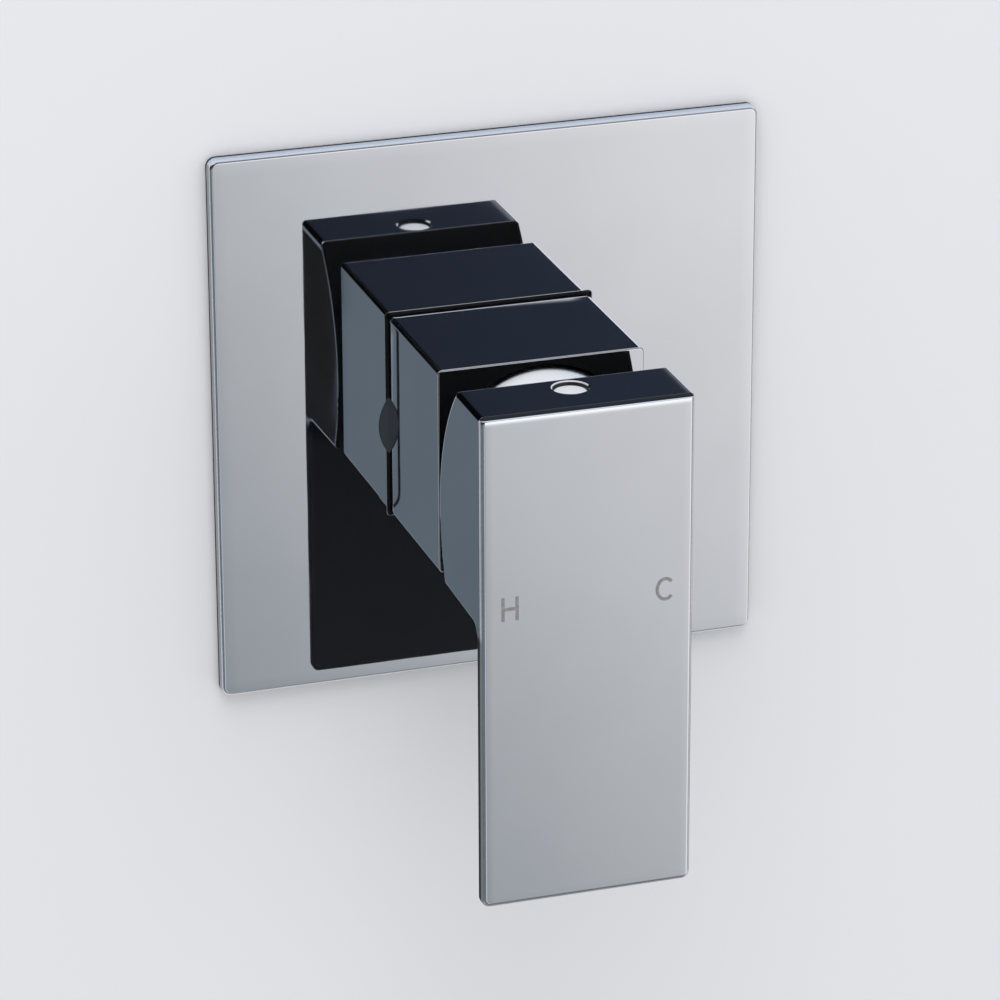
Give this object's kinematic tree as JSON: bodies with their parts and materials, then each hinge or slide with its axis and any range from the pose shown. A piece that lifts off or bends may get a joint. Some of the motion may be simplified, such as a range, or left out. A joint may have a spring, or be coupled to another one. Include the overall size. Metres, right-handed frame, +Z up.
{
  "type": "wall mixer tap",
  "caption": "Concealed single-lever wall mixer with a square cover plate, square sleeve, flat lever handle, ceramic disc cartridge and brass body with pipe connections.",
  "frame": {"origin": "middle of the cover plate's back face, on the wall's surface and on the tap's axis", "axes": "+X to the user's right, +Y into the wall along the tap's axis, +Z up; the lever hangs along -Z in front of the plate"},
  "size_m": [0.12, 0.1057, 0.1454],
  "materials": {
    "chrome": "polished chrome plating",
    "brass": "machined and cast brass",
    "steel": "turned stainless steel",
    "rubber": "black moulded rubber",
    "foam": "closed-cell foam",
    "plastic": "moulded plastic of the cartridge and the hole plug",
    "ceramic": "lapped white ceramic"
  },
  "bodies": {
    "fixed": {"wall_plate": "chrome", "plate_gasket": "foam", "plate_seal": "rubber", "sleeve": "chrome", "sleeve_o_rings": "rubber", "mixer_body": "brass", "cartridge_neck": "brass", "outlet_stopper": "brass", "outlet_stopper_seal": "rubber", "cartridge_base": "plastic", "base_seals": "rubber", "disc_seals": "rubber", "fixed_disc": "ceramic", "cartridge_housing": "plastic", "retaining_nut": "brass", "dome_cover": "chrome"},
    "carrier": {"stem_carrier": "plastic", "stem_pin": "steel"},
    "lever": {"lever_stem": "brass", "handle": "chrome", "grub_screw": "steel", "hole_plug": "plastic"},
    "slider": {"moving_disc": "ceramic", "disc_driver": "plastic"}
  },
  "joints": [
    {"name": "temperature", "type": "hinge", "parent": "fixed", "child": "carrier", "pos_m": [0, 0, 0], "axis": [0, 1, 0], "range_deg": [-45, 45]},
    {"name": "lift", "type": "hinge", "parent": "carrier", "child": "lever", "pos_m": [0, -0.031, 0], "axis": [-1, 0, 0], "range_deg": [0, 20]},
    {"name": "disc_slide", "type": "slide", "parent": "carrier", "child": "slider", "axis": [0, 0, -1], "range_m": [0, 0.0047]}
  ],
  "couplings": [
    {"joint": "disc_slide", "follows": "lift", "m_per_rad": 0.0133}
  ]
}
